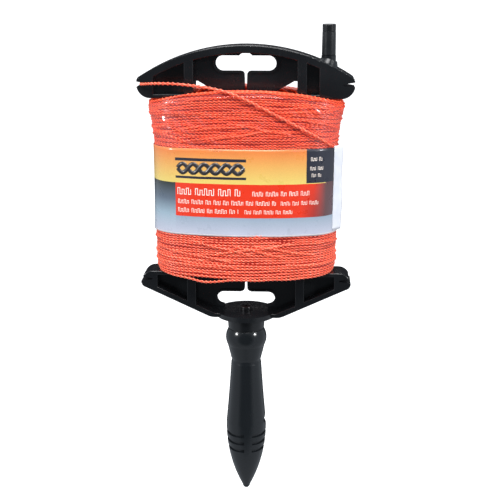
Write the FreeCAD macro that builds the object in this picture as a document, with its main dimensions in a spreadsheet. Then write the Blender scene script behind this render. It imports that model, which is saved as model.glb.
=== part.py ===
import FreeCAD, Part
import math
import os

import Sketcher
from FreeCAD import Placement, Rotation, Vector

# A mason's line reel. The origin is the stake point at the foot of the handle, +Z runs up
# the handle through the reel, X runs across the reel's width and the front faces -Y.
# All sizes are in millimetres.

SIZES = {
    # end plates, both
    "plate_half_width": 62.5,
    "plate_half_depth": 8.75,
    "plate_edge_round": 0.6,
    "web_thickness": 2.5,
    "bead_thickness": 4.6,
    "bead_width": 1.1,
    "flange_thickness": 2.4,
    "notch_length": 6.6,
    "notch_mouth": 3.0,
    "notch_root": 0.9,
    "notch_root_round": 0.5,
    "cell_end": 52.6,
    "slot_half_length": 17.5,
    "slit_wide": 1.5,
    "slit_narrow": 0.8,
    "slit_round": 2.0,
    "tongue_foot": 13.8,
    "tongue_step": 1.8,
    # top end plate
    "top_flange": 247.0,
    "top_corner": 8.0,
    "top_notch": 255.0,
    "top_lobe": 3.4,
    "top_lip_inset": 0.16,
    "arch_top": 277.1,
    "arch_radius": 113.1,
    "arch_thickness": 4.5,
    "arch_end": 60.6,
    "top_slot": 266.5,
    "top_slot_round": 4.4,
    "hook_bump_half": 3.7,
    "hook_bump_flat": 1.3,
    "hook_bump_rise": 1.5,
    "top_tongue_root": 256.4,
    "top_tongue_end": 248.4,
    # bottom end plate
    "bottom_flange": 144.4,
    "bottom_corner": 7.0,
    "bottom_notch": 139.6,
    "bottom_lobe": 3.6,
    "bottom_lip_inset": 1.05,
    "keel_half": 22.5,
    "keel_round_width": 4.5,
    "keel_round": 10.0,
    "keel_foot": 116.0,
    "keel_knee": 116.8,
    "keel_tip_x": 59.8,
    "keel_tip_z": 134.2,
    "keel_thickness": 3.4,
    "bottom_slot": 126.4,
    "bottom_slot_round": 4.2,
    "head_room_half": 13.0,
    "bottom_tongue_root": 138.8,
    "bottom_tongue_end": 143.4,
    # swivel under the bottom plate
    "disc_radius": 17.9,
    "disc_top": 118.6,
    "disc_thickness": 2.9,
    "neck_top_radius": 15.2,
    "collar_top": 113.8,
    "collar_top_radius": 11.3,
    "collar_foot": 107.9,
    "collar_foot_radius": 10.9,
    # posts
    "post_inner": 29.6,
    "post_width": 5.4,
    "post_half_depth": 8.5,
    "post_round": 1.6,
    "tenon_width": 2.6,
    "tenon_half_depth": 6.0,
    "tenon_length": 8.0,
    "socket_spare": 0.3,
    "assembly_gap": 0.03,
    # crank
    "crank_x": 47.2,
    "boss_lean": 22.7,
    "boss_foot_radius": 8.0,
    "boss_top_radius": 4.3,
    "boss_foot_x": 45.6,
    "boss_foot_z": 263.0,
    "boss_rise": 6.6,
    "boss_collar_radius": 4.15,
    "boss_top": 271.2,
    "block_start": 42.0,
    "pin_radius": 2.4,
    "pin_foot": 251.0,
    "pin_head_foot": 284.7,
    "pin_top": 288.6,
    "pin_head_radius": 3.8,
    "pin_head_round": 0.6,
    "pin_chamfer": 0.5,
    "sleeve_chamfer": 0.25,
    "sleeve_foot_radius": 4.0,
    "sleeve_top_radius": 3.85,
    "running_gap": 0.06,
    "end_play": 0.1,
    # handle
    "handle_turn": 8.5,
    "handle_top": 107.25,
    "handle_top_radius": 10.7,
    "ball_height": 102.4,
    "ball_radius": 12.4,
    "ball_foot_radius": 11.3,
    "ball_foot": 96.9,
    "waist_radius": 9.2,
    "waist_round": 3.2,
    "waist_top": 88.3,
    "waist_foot": 85.4,
    "shaft_middle_radius": 10.4,
    "shaft_middle": 68.0,
    "barrel_radius": 12.3,
    "barrel_top": 46.4,
    "barrel_foot": 41.4,
    "ogive_middle_radius": 9.25,
    "ogive_middle": 20.4,
    "point_radius": 2.35,
    "point_height": 2.6,
    "point_side_radius": 1.5,
    "point_side_height": 0.72,
    "groove_first": 40.1,
    "groove_pitch": 5.15,
    "groove_root_half": 0.75,
    "groove_mouth_half": 1.45,
    "groove_depth": 1.2,
    "groove_sweep": 156.0,
    "cleat_mouth_x": 14.0,
    "cleat_mouth_top": 53.2,
    "cleat_mouth_foot": 42.5,
    "cleat_root_x": 9.9,
    "cleat_root_z": 48.0,
    "cleat_root_half": 0.3,
    # pivot
    "screw_head_radius": 3.65,
    "screw_head_top": 121.2,
    "screw_head_round": 0.9,
    "screw_radius": 1.65,
    "screw_foot": 78.6,
    "screw_point": 3.0,
    "screw_hole_spare": 0.3,
    "recess_width": 0.9,
    "recess_half_length": 2.0,
    "recess_depth": 1.3,
    "bush_radius": 2.6,
    "bush_foot": 101.0,
    "washer_radius": 10.2,
    "washer_thickness": 0.5,
    # line and label
    "winding_foot": 144.7,
    "winding_crown": 252.6,
    "winding_crown_half": 52.0,
    "winding_shoulder": 246.7,
    "winding_front": 26.3,
    "winding_front_radius": 125.0,
    "winding_clearance": 0.25,
    "winding_core_gap": 0.1,
    "label_foot": 170.2,
    "label_top": 220.5,
    "label_thickness": 0.35,
    "label_gap": 0.1,
    "label_half_width": 54.1,
    "line_diameter": 1.5,
}

# The winding's half width at each height: pinched under the label, spread at the top.
WINDING_WIDTHS = (
    (144.7, 51.8),
    (148.5, 53.4),
    (166.0, 53.8),
    (222.0, 53.8),
    (233.0, 55.0),
    (242.0, 56.8),
    (253.6, 56.0),
)

# The free end of the line, from the label's top edge over the winding to the left notch,
# through it, and then down the back of the winding, where it is tucked out of the way.
LINE_END_ROUTE = (
    (51.2, -13.5, 221.7),
    (43.3, -20.6, 226.1),
    (31.6, -23.8, 232.7),
    (17.6, -26.2, 240.2),
    (3.4, -27.6, 247.6),
    (-9.6, -27.4, 253.3),
    (-24.6, -21.4, 255.2),
    (-39.4, -15.8, 256.1),
    (-52.6, -12.2, 255.8),
    (-59.6, -10.4, 255.1),
    (-60.3, -2.7, 255.0),
    (-60.2, 4.9, 255.1),
    (-59.8, 11.6, 255.0),
    (-55.0, 14.3, 251.9),
    (-48.6, 17.7, 246.8),
    (-41.8, 21.0, 240.2),
    (-37.0, 22.5, 232.0),
)

FRONT = "XZ_Plane"
PLAN = "XY_Plane"
SIDE = "YZ_Plane"
THROUGH = 200.0  # depth of a cut that goes right through
BEYOND = 3.0  # how far a cut or a joining piece runs past the surface it meets
EMBED = 0.8  # how far a web runs into the rim round it
V_AXIS = -2
H_AXIS = -1
FLAT = 0.01  # how far from flat or level still counts as such
ARC_SHARE = 0.45  # share of the shorter run that an arc of a cord takes

doc = FreeCAD.newDocument("line_reel")
sheet = doc.addObject("Spreadsheet::Sheet", "sheet")


class Size:
    """A length or angle worked out from the sheet: its value, and the text that drives it."""

    def __init__(self, value, text):
        self.value = value
        self.text = text

    def _join(self, other, sign, value):
        text = other.text if isinstance(other, Size) else repr(float(other))
        return Size(value, "(" + self.text + " " + sign + " " + text + ")")

    def __add__(self, other):
        return self._join(other, "+", self.value + number(other))

    def __sub__(self, other):
        return self._join(other, "-", self.value - number(other))

    def __mul__(self, other):
        return self._join(other, "*", self.value * number(other))

    def __truediv__(self, other):
        return self._join(other, "/", self.value / number(other))

    def __neg__(self):
        return Size(-self.value, "(0 - " + self.text + ")")


def number(size):
    """The plain value of a Size or a number."""
    return size.value if isinstance(size, Size) else float(size)


def fill_sheet():
    """Writes every driving size to the sheet and returns them as Size objects."""
    sizes = {}
    for row, (name, value) in enumerate(SIZES.items(), start=1):
        sheet.set("A" + str(row), name)
        sheet.set("B" + str(row), str(value))
        sheet.setAlias("B" + str(row), name)
        sizes[name] = Size(float(value), "sheet." + name)
    doc.recompute()
    return sizes


def bind(target, field, size):
    """Sets a property from a Size and keeps it tied to the sheet."""
    if isinstance(size, Size):
        target.setExpression(field, size.text)
    elif "[" not in field:
        setattr(target, field, size)


def new_body(name):
    """An empty body whose label is the sub-part's name."""
    body = doc.addObject("PartDesign::Body", name)
    body.Label = name
    return body


def origin_plane(body, role):
    """One of the body's own three origin planes or axes."""
    return [f for f in body.Origin.OriginFeatures if f.Role == role][0]


def new_sketch(body, name, role, height=0.0):
    """A sketch on an origin plane, or on a plane parallel to it at that height."""
    sketch = body.newObject("Sketcher::SketchObject", name)
    sketch.AttachmentSupport = (origin_plane(body, role), "")
    sketch.MapMode = "FlatFace"
    sketch.AttachmentOffset = Placement(Vector(0, 0, number(height)), Rotation())
    if isinstance(height, Size):
        sketch.setExpression("AttachmentOffset.Base.z", height.text)
    return sketch


def arc_between(start, end, radius):
    """The arc under half a turn from start to end. A positive radius bends to the left."""
    chord = end - start
    half = chord.Length / 2
    reach = math.sqrt(max(radius * radius - half * half, 0.0))
    left = Vector(-chord.y, chord.x, 0).normalize()
    centre = start + chord * 0.5 + left * math.copysign(reach, radius)
    first, last = (start, end) if radius > 0 else (end, start)
    low = math.atan2(first.y - centre.y, first.x - centre.x)
    high = math.atan2(last.y - centre.y, last.x - centre.x)
    if high <= low:
        high += 2 * math.pi
    circle = Part.Circle(centre, Vector(0, 0, 1), abs(radius))
    return Part.ArcOfCircle(circle, low, high)


def fix_point(sketch, edge, end, x, y):
    """Ties one end of an edge to its two coordinates."""
    for kind, axis, value in (("DistanceX", V_AXIS, x), ("DistanceY", H_AXIS, y)):
        if number(value) == 0:
            sketch.addConstraint(Sketcher.Constraint("PointOnObject", edge, end, axis))
            continue
        place = sketch.addConstraint(
            Sketcher.Constraint(kind, -1, 1, edge, end, number(value))
        )
        bind(sketch, "Constraints[" + str(place) + "]", value)


def draw(sketch, steps):
    """Draws a closed outline. A step is (x, y), reached by a straight side, or
    (x, y, radius), reached by an arc; a positive radius bends to the left."""
    points = [Vector(number(s[0]), number(s[1]), 0) for s in steps]
    first_edge = sketch.GeometryCount
    heads = []
    tails = []
    for place, step in enumerate(steps):
        start = points[place - 1]
        end = points[place]
        if len(step) == 3:
            radius = number(step[2])
            edge = sketch.addGeometry(arc_between(start, end, radius), False)
            heads.append(1 if radius > 0 else 2)
            tails.append(2 if radius > 0 else 1)
            bound = sketch.addConstraint(
                Sketcher.Constraint("Radius", edge, abs(radius))
            )
            size = step[2] if radius > 0 else -step[2]
            bind(sketch, "Constraints[" + str(bound) + "]", size)
        else:
            sketch.addGeometry(Part.LineSegment(start, end), False)
            heads.append(1)
            tails.append(2)
    count = len(steps)
    for place, step in enumerate(steps):
        after = (place + 1) % count
        sketch.addConstraint(
            Sketcher.Constraint(
                "Coincident",
                first_edge + place,
                tails[place],
                first_edge + after,
                heads[after],
            )
        )
        fix_point(sketch, first_edge + place, tails[place], step[0], step[1])


def draw_circle(sketch, x, y, radius):
    """Draws a circle whose centre and radius follow the sheet."""
    place = Vector(number(x), number(y), 0)
    edge = sketch.addGeometry(
        Part.Circle(place, Vector(0, 0, 1), number(radius)), False
    )
    fix_point(sketch, edge, 3, x, y)
    bound = sketch.addConstraint(Sketcher.Constraint("Radius", edge, number(radius)))
    bind(sketch, "Constraints[" + str(bound) + "]", radius)


def mirrored(steps, bridge=None):
    """The same steps on the other side of x = 0, in the order that carries the outline on.
    bridge is the radius of the arc that crosses over, if an arc does."""
    result = []
    bend = bridge
    for step in reversed(steps):
        flipped = [-step[0] if number(step[0]) else step[0], step[1]]
        if bend is not None:
            flipped.append(bend)
        result.append(tuple(flipped))
        bend = step[2] if len(step) == 3 else None
    return result


def pad(body, name, sketch, thickness):
    """Pads a sketch equally to both sides of its plane."""
    feature = body.newObject("PartDesign::Pad", name)
    feature.Profile = sketch
    feature.SideType = "Symmetric"
    bind(feature, "Length", thickness)
    return feature


def pad_up(body, name, sketch, height):
    """Pads a sketch to one side, along its normal."""
    feature = body.newObject("PartDesign::Pad", name)
    feature.Profile = sketch
    bind(feature, "Length", height)
    return feature


def pocket(body, name, sketch, depth=THROUGH):
    """Cuts a sketch equally to both sides of its plane."""
    feature = body.newObject("PartDesign::Pocket", name)
    feature.Profile = sketch
    feature.SideType = "Symmetric"
    bind(feature, "Length", depth)
    return feature


def revolve(body, name, sketch):
    """Turns a half outline on the front plane about the vertical axis."""
    feature = body.newObject("PartDesign::Revolution", name)
    feature.Profile = sketch
    feature.ReferenceAxis = (sketch, ["V_Axis"])
    feature.Angle = 360.0
    return feature


def primitive(body, kind, name, x, y, z, tilt=0.0, **sizes):
    """A primitive solid added to or cut from the body, standing at (x, y, z)."""
    feature = body.newObject("PartDesign::" + kind, name)
    feature.AttachmentSupport = (origin_plane(body, PLAN), "")
    feature.MapMode = "FlatFace"
    turn = Rotation(Vector(0, 1, 0), number(tilt))
    feature.AttachmentOffset = Placement(Vector(number(x), number(y), number(z)), turn)
    for axis, value in (("x", x), ("y", y), ("z", z)):
        if isinstance(value, Size):
            feature.setExpression("AttachmentOffset.Base." + axis, value.text)
    for field, value in sizes.items():
        bind(feature, field, value)
    return feature


def round_edges(body, name, radius, chosen):
    """Rounds those edges of the body's tip that the test picks."""
    doc.recompute()
    base = body.Tip
    edges = [
        "Edge" + str(place)
        for place, edge in enumerate(base.Shape.Edges, start=1)
        if chosen(edge)
    ]
    feature = body.newObject("PartDesign::Fillet", name)
    feature.Base = (base, edges)
    bind(feature, "Radius", radius)
    return feature


def arch_height(s, x, inset=0.0):
    """Height of the top plate's arch at x, that far inside its outer edge."""
    radius = s["arch_radius"].value - inset
    centre = s["arch_top"].value - s["arch_radius"].value
    return centre + math.sqrt(radius * radius - x * x)


def keel_height(s, x, inset=0.0):
    """Height of the bottom plate's sloping edge at x, that far inside it."""
    rise = s["keel_tip_z"].value - s["keel_knee"].value
    run = s["keel_tip_x"].value - s["keel_half"].value
    slope = rise / run
    lift = inset * math.hypot(1.0, slope)
    return s["keel_knee"].value + slope * (x - s["keel_half"].value) + lift


def round_faces(s, body, name, notch):
    """Rounds the edges of a plate's front and back faces, apart from those in the notches."""
    half_depth = s["plate_half_depth"].value
    mouth = s["notch_mouth"].value / 2
    root_x = s["plate_half_width"].value - s["notch_length"].value

    def chosen(edge):
        box = edge.BoundBox
        flat = box.YLength < FLAT and abs(abs(box.YMin) - half_depth) < FLAT
        middle = edge.CenterOfMass
        in_notch = abs(middle.z - notch.value) < mouth and abs(middle.x) > root_x - mouth
        return flat and not in_notch

    round_edges(body, name, s["plate_edge_round"], chosen)


def make_top_plate(s):
    """Bow-shaped end plate: rim, flange, ribs over the posts, web with slot and slit."""
    body = new_body("top_plate")
    half = s["plate_half_width"]
    flange = s["top_flange"]
    notch = s["top_notch"]
    corner = s["top_corner"]
    mouth = s["notch_mouth"] / 2
    root = s["notch_root"] / 2
    lip_x = half - s["top_lip_inset"]
    root_x = half - s["notch_length"]
    arch_end_z = arch_height(s, s["arch_end"].value)

    right_side = [
        (half - corner, flange),
        (lip_x, notch - mouth, corner),
        (root_x, notch - root),
        (root_x, notch + root, -s["notch_root_round"]),
        (lip_x, notch + mouth),
        (s["arch_end"], arch_end_z, s["top_lobe"]),
    ]
    outline = new_sketch(body, "top_outline", FRONT)
    draw(outline, right_side + mirrored(right_side, s["arch_radius"]))
    pad(body, "top_block", outline, s["plate_half_depth"] * 2)

    inner = s["arch_thickness"].value
    inner_arch = s["arch_radius"] - s["arch_thickness"]
    cell_floor = flange + s["flange_thickness"]
    post_outer = s["post_inner"] + s["post_width"]
    cells = new_sketch(body, "top_cells", FRONT)
    left_cell = [
        (-s["cell_end"], cell_floor),
        (-post_outer, cell_floor),
        (-post_outer, arch_height(s, post_outer.value, inner)),
        (-s["cell_end"], arch_height(s, s["cell_end"].value, inner), inner_arch),
    ]
    right_cell = [
        (post_outer, cell_floor),
        (s["block_start"], cell_floor),
        (s["block_start"], arch_height(s, s["block_start"].value, inner)),
        (post_outer, arch_height(s, post_outer.value, inner), inner_arch),
    ]
    middle_side = [
        (s["post_inner"], flange - BEYOND),
        (s["post_inner"], arch_height(s, s["post_inner"].value, inner)),
    ]
    middle_cell = middle_side + mirrored(middle_side, inner_arch)
    for cell in (left_cell, right_cell, middle_cell):
        draw(cells, cell)
    pocket(body, "top_cell_cut", cells)
    round_faces(s, body, "top_edges", notch)

    make_top_web(s, body)
    make_crank_boss(s, body)
    cut_sockets(s, body, "top", flange)
    return body


def make_top_web(s, body):
    """The web in the plate's middle plane, its tongue, slot, slit and the bead round them."""
    half_rim = s["arch_thickness"].value / 2
    web_arch = s["arch_radius"] - half_rim
    floor = s["top_flange"] + s["flange_thickness"] / 2
    rib = s["post_inner"] + s["post_width"] / 2
    end = s["cell_end"] + EMBED
    end_z = arch_height(s, end.value, half_rim)
    round_end = s["top_slot_round"]
    low = s["top_slot"] - round_end
    high = s["top_slot"] + round_end
    reach = s["slot_half_length"]
    slit_corner = s["slit_wide"] / 2 + s["slit_round"]

    outer = [
        (s["slit_narrow"] / 2, s["top_tongue_end"]),
        (s["tongue_foot"], s["top_tongue_end"]),
        (s["post_inner"] - s["tongue_step"], s["top_tongue_root"]),
        (rib, s["top_tongue_root"]),
        (rib, floor),
        (end, floor),
        (end, end_z),
    ]
    slot = [
        (s["slit_wide"] / 2, low - s["slit_round"]),
        (slit_corner, low, -s["slit_round"]),
        (reach - round_end, low),
        (reach, s["top_slot"], round_end),
        (reach - round_end, high, round_end),
        (s["hook_bump_half"], high),
    ]
    top_of_slot = (s["hook_bump_flat"], high + s["hook_bump_rise"], s["hook_bump_half"])
    web = new_sketch(body, "top_web_outline", FRONT)
    slot_side = slot + [top_of_slot]
    slot_loop = slot_side + mirrored(slot_side)
    draw(web, outer + mirrored(outer, web_arch) + reversed_loop(slot_loop))
    pad(body, "top_web", web, s["web_thickness"])

    bead = new_sketch(body, "top_bead_outline", FRONT)
    width = s["bead_width"]
    bead_outer = [
        (slit_corner, low - width),
        (reach - round_end, low - width),
        (reach + width, s["top_slot"], round_end + width),
        (reach - round_end, high + width, round_end + width),
        (s["hook_bump_half"] + width, high + s["hook_bump_rise"] + width),
    ]
    bead_side = [(slit_corner, low)] + slot[2:] + [top_of_slot]
    bead_slot = bead_side + mirrored(bead_side)
    draw(bead, bead_outer + mirrored(bead_outer) + reversed_loop(bead_slot))
    pad(body, "top_bead", bead, s["bead_thickness"])


def reversed_loop(steps):
    """The same open run of steps walked the other way, with its bends turned over."""
    result = []
    bend = None
    for step in reversed(steps):
        place = [step[0], step[1]]
        if bend is not None:
            place.append(bend)
        result.append(tuple(place))
        bend = -step[2] if len(step) == 3 else None
    return result


def make_crank_boss(s, body):
    """The flared boss on the arch that carries the crank pin, and the pin's blind hole."""
    primitive(
        body,
        "AdditiveCone",
        "boss_flare",
        s["boss_foot_x"],
        0.0,
        s["boss_foot_z"],
        s["boss_lean"],
        Radius1=s["boss_foot_radius"],
        Radius2=s["boss_top_radius"],
        Height=s["boss_rise"],
    )
    primitive(
        body,
        "AdditiveCylinder",
        "boss_collar",
        s["crank_x"],
        0.0,
        s["boss_foot_z"],
        Radius=s["boss_collar_radius"],
        Height=s["boss_top"] - s["boss_foot_z"],
    )
    primitive(
        body,
        "SubtractiveCylinder",
        "pin_hole",
        s["crank_x"],
        0.0,
        s["pin_foot"] - s["socket_spare"],
        Radius=s["pin_radius"] + s["assembly_gap"],
        Height=s["boss_top"] - s["pin_foot"] + BEYOND,
    )


def cut_sockets(s, body, name, foot):
    """The two blind sockets that take the posts' tenons, from that height up."""
    gap = s["assembly_gap"]
    width = s["tenon_width"] + gap * 2
    depth = s["tenon_half_depth"] * 2 + gap * 2
    middle = s["post_inner"] + s["post_width"] / 2
    for side, x in (("right", middle), ("left", -middle)):
        primitive(
            body,
            "SubtractiveBox",
            name + "_socket_" + side,
            x - width / 2,
            -(depth / 2),
            foot,
            Length=width,
            Width=depth,
            Height=s["tenon_length"] + s["socket_spare"],
        )


def make_bottom_plate(s):
    """End plate with the V-shaped edge, and the swivel disc and collar under it."""
    body = new_body("bottom_plate")
    half = s["plate_half_width"]
    flange = s["bottom_flange"]
    notch = s["bottom_notch"]
    corner = s["bottom_corner"]
    mouth = s["notch_mouth"] / 2
    root = s["notch_root"] / 2
    root_x = half - s["notch_length"]
    knee_x = s["keel_half"] - s["keel_round_width"]

    right_side = [
        (knee_x, s["keel_foot"]),
        (s["keel_half"], s["keel_knee"], s["keel_round"]),
        (s["keel_tip_x"], s["keel_tip_z"]),
        (half, notch - mouth, s["bottom_lobe"]),
        (root_x, notch - root),
        (root_x, notch + root, -s["notch_root_round"]),
        (half - s["bottom_lip_inset"], notch + mouth),
        (half - corner, flange, corner),
    ]
    outline = new_sketch(body, "bottom_outline", FRONT)
    draw(outline, right_side + mirrored(right_side))
    pad(body, "bottom_block", outline, s["plate_half_depth"] * 2)

    inner = s["keel_thickness"].value
    cell_top = flange - s["flange_thickness"]
    post_outer = s["post_inner"] + s["post_width"]
    cells = new_sketch(body, "bottom_cells", FRONT)
    right_cell = [
        (post_outer, keel_height(s, post_outer.value, inner)),
        (s["cell_end"], keel_height(s, s["cell_end"].value, inner)),
        (s["cell_end"], cell_top),
        (post_outer, cell_top),
    ]
    middle_side = [
        (knee_x, s["disc_top"]),
        (s["post_inner"], keel_height(s, s["post_inner"].value, inner)),
        (s["post_inner"], flange + BEYOND),
    ]
    for cell in (right_cell, mirrored(right_cell), middle_side + mirrored(middle_side)):
        draw(cells, cell)
    pocket(body, "bottom_cell_cut", cells)
    round_faces(s, body, "bottom_edges", notch)

    make_bottom_web(s, body)
    make_swivel(s, body)
    cut_sockets(s, body, "bottom", flange - s["tenon_length"] - s["socket_spare"])
    return body


def make_bottom_web(s, body):
    """The two halves of the web, parted by the slit, the slot and the room for the head."""
    half_rim = s["keel_thickness"].value / 2
    rib = s["post_inner"] + s["post_width"] / 2
    end = s["cell_end"] + EMBED
    ceiling = s["bottom_flange"] - s["flange_thickness"] / 2
    round_end = s["bottom_slot_round"]
    low = s["bottom_slot"] - round_end
    high = s["bottom_slot"] + round_end
    reach = s["slot_half_length"]
    room = s["head_room_half"]
    floor = s["disc_top"] - EMBED
    knee_x = s["keel_half"] - s["keel_round_width"]
    slit_corner = s["slit_wide"] / 2 + s["slit_round"]

    half_web = [
        (room, floor),
        (knee_x, floor),
        (end, keel_height(s, end.value, half_rim)),
        (end, ceiling),
        (rib, ceiling),
        (rib, s["bottom_tongue_root"]),
        (s["post_inner"] - s["tongue_step"], s["bottom_tongue_root"]),
        (s["tongue_foot"], s["bottom_tongue_end"]),
        (s["slit_narrow"] / 2, s["bottom_tongue_end"]),
        (s["slit_wide"] / 2, high + s["slit_round"]),
        (slit_corner, high, s["slit_round"]),
        (reach - round_end, high),
        (reach, s["bottom_slot"], -round_end),
        (reach - round_end, low, -round_end),
        (room, low),
    ]
    web = new_sketch(body, "bottom_web_outline", FRONT)
    draw(web, half_web)
    draw(web, mirrored(half_web))
    pad(body, "bottom_web", web, s["web_thickness"])

    width = s["bead_width"]
    half_bead = [
        (reach - round_end, high),
        (reach, s["bottom_slot"], -round_end),
        (reach - round_end, low, -round_end),
        (reach - round_end, low - width),
        (reach + width, s["bottom_slot"], round_end + width),
        (reach - round_end, high + width, round_end + width),
        (slit_corner, high + width),
        (slit_corner, high),
    ]
    bead = new_sketch(body, "bottom_bead_outline", FRONT)
    draw(bead, half_bead)
    draw(bead, mirrored(half_bead))
    pad(body, "bottom_bead", bead, s["bead_thickness"])


def make_swivel(s, body):
    """The disc that takes the pivot screw's head, its flared neck, the collar and the bore."""
    disc_foot = s["disc_top"] - s["disc_thickness"]
    primitive(
        body,
        "AdditiveCylinder",
        "swivel_disc",
        0.0,
        0.0,
        disc_foot,
        Radius=s["disc_radius"],
        Height=s["disc_thickness"],
    )
    primitive(
        body,
        "AdditiveCone",
        "swivel_neck",
        0.0,
        0.0,
        s["collar_top"],
        Radius1=s["collar_top_radius"],
        Radius2=s["neck_top_radius"],
        Height=disc_foot - s["collar_top"],
    )
    primitive(
        body,
        "AdditiveCone",
        "swivel_collar",
        0.0,
        0.0,
        s["collar_foot"],
        Radius1=s["collar_foot_radius"],
        Radius2=s["collar_top_radius"],
        Height=s["collar_top"] - s["collar_foot"],
    )
    primitive(
        body,
        "SubtractiveCylinder",
        "swivel_bore",
        0.0,
        0.0,
        s["collar_foot"] - BEYOND,
        Radius=s["bush_radius"] + s["running_gap"],
        Height=s["disc_top"] - s["collar_foot"] + BEYOND * 2,
    )


def make_post(s, name, side):
    """One post: the part that carries the line, and a tenon at each end."""
    body = new_body(name)
    foot = s["bottom_flange"]
    top = s["top_flange"]
    half_width = s["post_width"] / 2
    depth = s["post_half_depth"]
    bend = s["post_round"]
    middle = s["post_inner"] + half_width
    centre = middle if side > 0 else -middle

    section = new_sketch(body, name + "_section", PLAN, foot)
    right = centre + half_width
    left = centre - half_width
    draw(
        section,
        [
            (right - bend, -depth),
            (right, -depth + bend, bend),
            (right, depth - bend),
            (right - bend, depth, bend),
            (left + bend, depth),
            (left, depth - bend, bend),
            (left, -depth + bend),
            (left + bend, -depth, bend),
        ],
    )
    pad_up(body, name + "_column", section, top - foot)
    for end, height in (("foot", foot - s["tenon_length"]), ("top", top)):
        primitive(
            body,
            "AdditiveBox",
            name + "_tenon_" + end,
            centre - s["tenon_width"] / 2,
            -s["tenon_half_depth"],
            height,
            Length=s["tenon_width"],
            Width=s["tenon_half_depth"] * 2,
            Height=s["tenon_length"],
        )
    return body


def make_crank_pin(s):
    """The headed pin pressed into the boss, on which the sleeve turns."""
    body = new_body("crank_pin")
    outline = new_sketch(body, "crank_pin_outline", FRONT)
    head = s["pin_head_radius"]
    bend = s["pin_head_round"]
    chamfer = s["pin_chamfer"]
    draw(
        outline,
        [
            (0.0, s["pin_foot"]),
            (s["pin_radius"] - chamfer, s["pin_foot"]),
            (s["pin_radius"], s["pin_foot"] + chamfer),
            (s["pin_radius"], s["pin_head_foot"]),
            (head, s["pin_head_foot"]),
            (head, s["pin_top"] - bend),
            (head - bend, s["pin_top"], bend),
            (0.0, s["pin_top"]),
        ],
    )
    revolve(body, "crank_pin_turned", outline)
    move_to(body, s["crank_x"])
    return body


def make_crank_sleeve(s):
    """The finger sleeve, slightly thicker at its foot, free to turn on the pin."""
    body = new_body("crank_sleeve")
    bore = s["pin_radius"] + s["running_gap"]
    foot = s["boss_top"] + s["end_play"]
    top = s["pin_head_foot"] - s["end_play"]
    chamfer = s["sleeve_chamfer"]
    outline = new_sketch(body, "crank_sleeve_outline", FRONT)
    draw(
        outline,
        [
            (bore, foot),
            (s["sleeve_foot_radius"] - chamfer, foot),
            (s["sleeve_foot_radius"], foot + chamfer),
            (s["sleeve_top_radius"], top - chamfer),
            (s["sleeve_top_radius"] - chamfer, top),
            (bore, top),
        ],
    )
    revolve(body, "crank_sleeve_turned", outline)
    move_to(body, s["crank_x"])
    return body


def move_to(body, x):
    """Stands a turned body on the crank's axis."""
    body.Placement = Placement(Vector(x.value, 0, 0), Rotation())
    body.setExpression("Placement.Base.x", x.text)


def through_point(start, middle, end):
    """The signed radius of the arc from start to end through middle."""
    a, b, c = (Vector(number(p[0]), number(p[1]), 0) for p in (start, middle, end))
    turn = (b - a).cross(c - b).z
    return (b - a).Length * (c - b).Length * (c - a).Length / (2 * turn)


def make_handle(s):
    """Turned handle: ball neck, waist, barrel and stake point, grooved on both sides."""
    body = new_body("handle")
    bush_hole = s["bush_radius"] + s["assembly_gap"]
    screw_hole = s["screw_radius"] + s["assembly_gap"]
    hole_foot = s["screw_foot"] - s["screw_hole_spare"]
    neck = (s["handle_top_radius"], s["handle_top"])
    ball = (s["ball_radius"], s["ball_height"])
    ball_foot = (s["ball_foot_radius"], s["ball_foot"])
    waist_foot = (s["waist_radius"], s["waist_foot"])
    shaft = (s["shaft_middle_radius"], s["shaft_middle"])
    barrel_top = (s["barrel_radius"], s["barrel_top"])
    barrel_foot = (s["barrel_radius"], s["barrel_foot"])
    ogive = (s["ogive_middle_radius"], s["ogive_middle"])
    point = (s["point_radius"], s["point_height"])
    point_side = (s["point_side_radius"], s["point_side_height"])
    tip = (0.0, 0.0)
    outline = new_sketch(body, "handle_outline", FRONT)
    draw(
        outline,
        [
            tip,
            point + (through_point(tip, point_side, point),),
            barrel_foot + (through_point(point, ogive, barrel_foot),),
            barrel_top,
            waist_foot + (through_point(barrel_top, shaft, waist_foot),),
            (s["waist_radius"], s["waist_top"], -s["waist_round"]),
            ball_foot,
            neck + (through_point(ball_foot, ball, neck),),
            (bush_hole, s["handle_top"]),
            (bush_hole, s["bush_foot"]),
            (screw_hole, s["bush_foot"]),
            (screw_hole, hole_foot),
            (0.0, hole_foot - screw_hole / 2),
        ],
    )
    revolve(body, "handle_turned", outline)
    cut_grooves(s, body, through_point(point, ogive, barrel_foot))
    cut_cleat(s, body)
    body.Placement = Placement(Vector(), Rotation(Vector(0, 0, 1), s["handle_turn"].value))
    body.setExpression("Placement.Rotation.Angle", s["handle_turn"].text)
    return body


def ogive_radius(s, height, bend):
    """Radius of the stake's curved side at a height, from the arc that draws it."""
    start = Vector(s["point_radius"].value, s["point_height"].value, 0)
    end = Vector(s["barrel_radius"].value, s["barrel_foot"].value, 0)
    if height >= end.y:
        return end.x
    chord = end - start
    reach = math.sqrt(bend * bend - (chord.Length / 2) ** 2)
    left = Vector(-chord.y, chord.x, 0).normalize()
    centre = start + chord * 0.5 + left * math.copysign(reach, bend)
    return centre.x + math.sqrt(bend * bend - (height - centre.y) ** 2)


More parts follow.
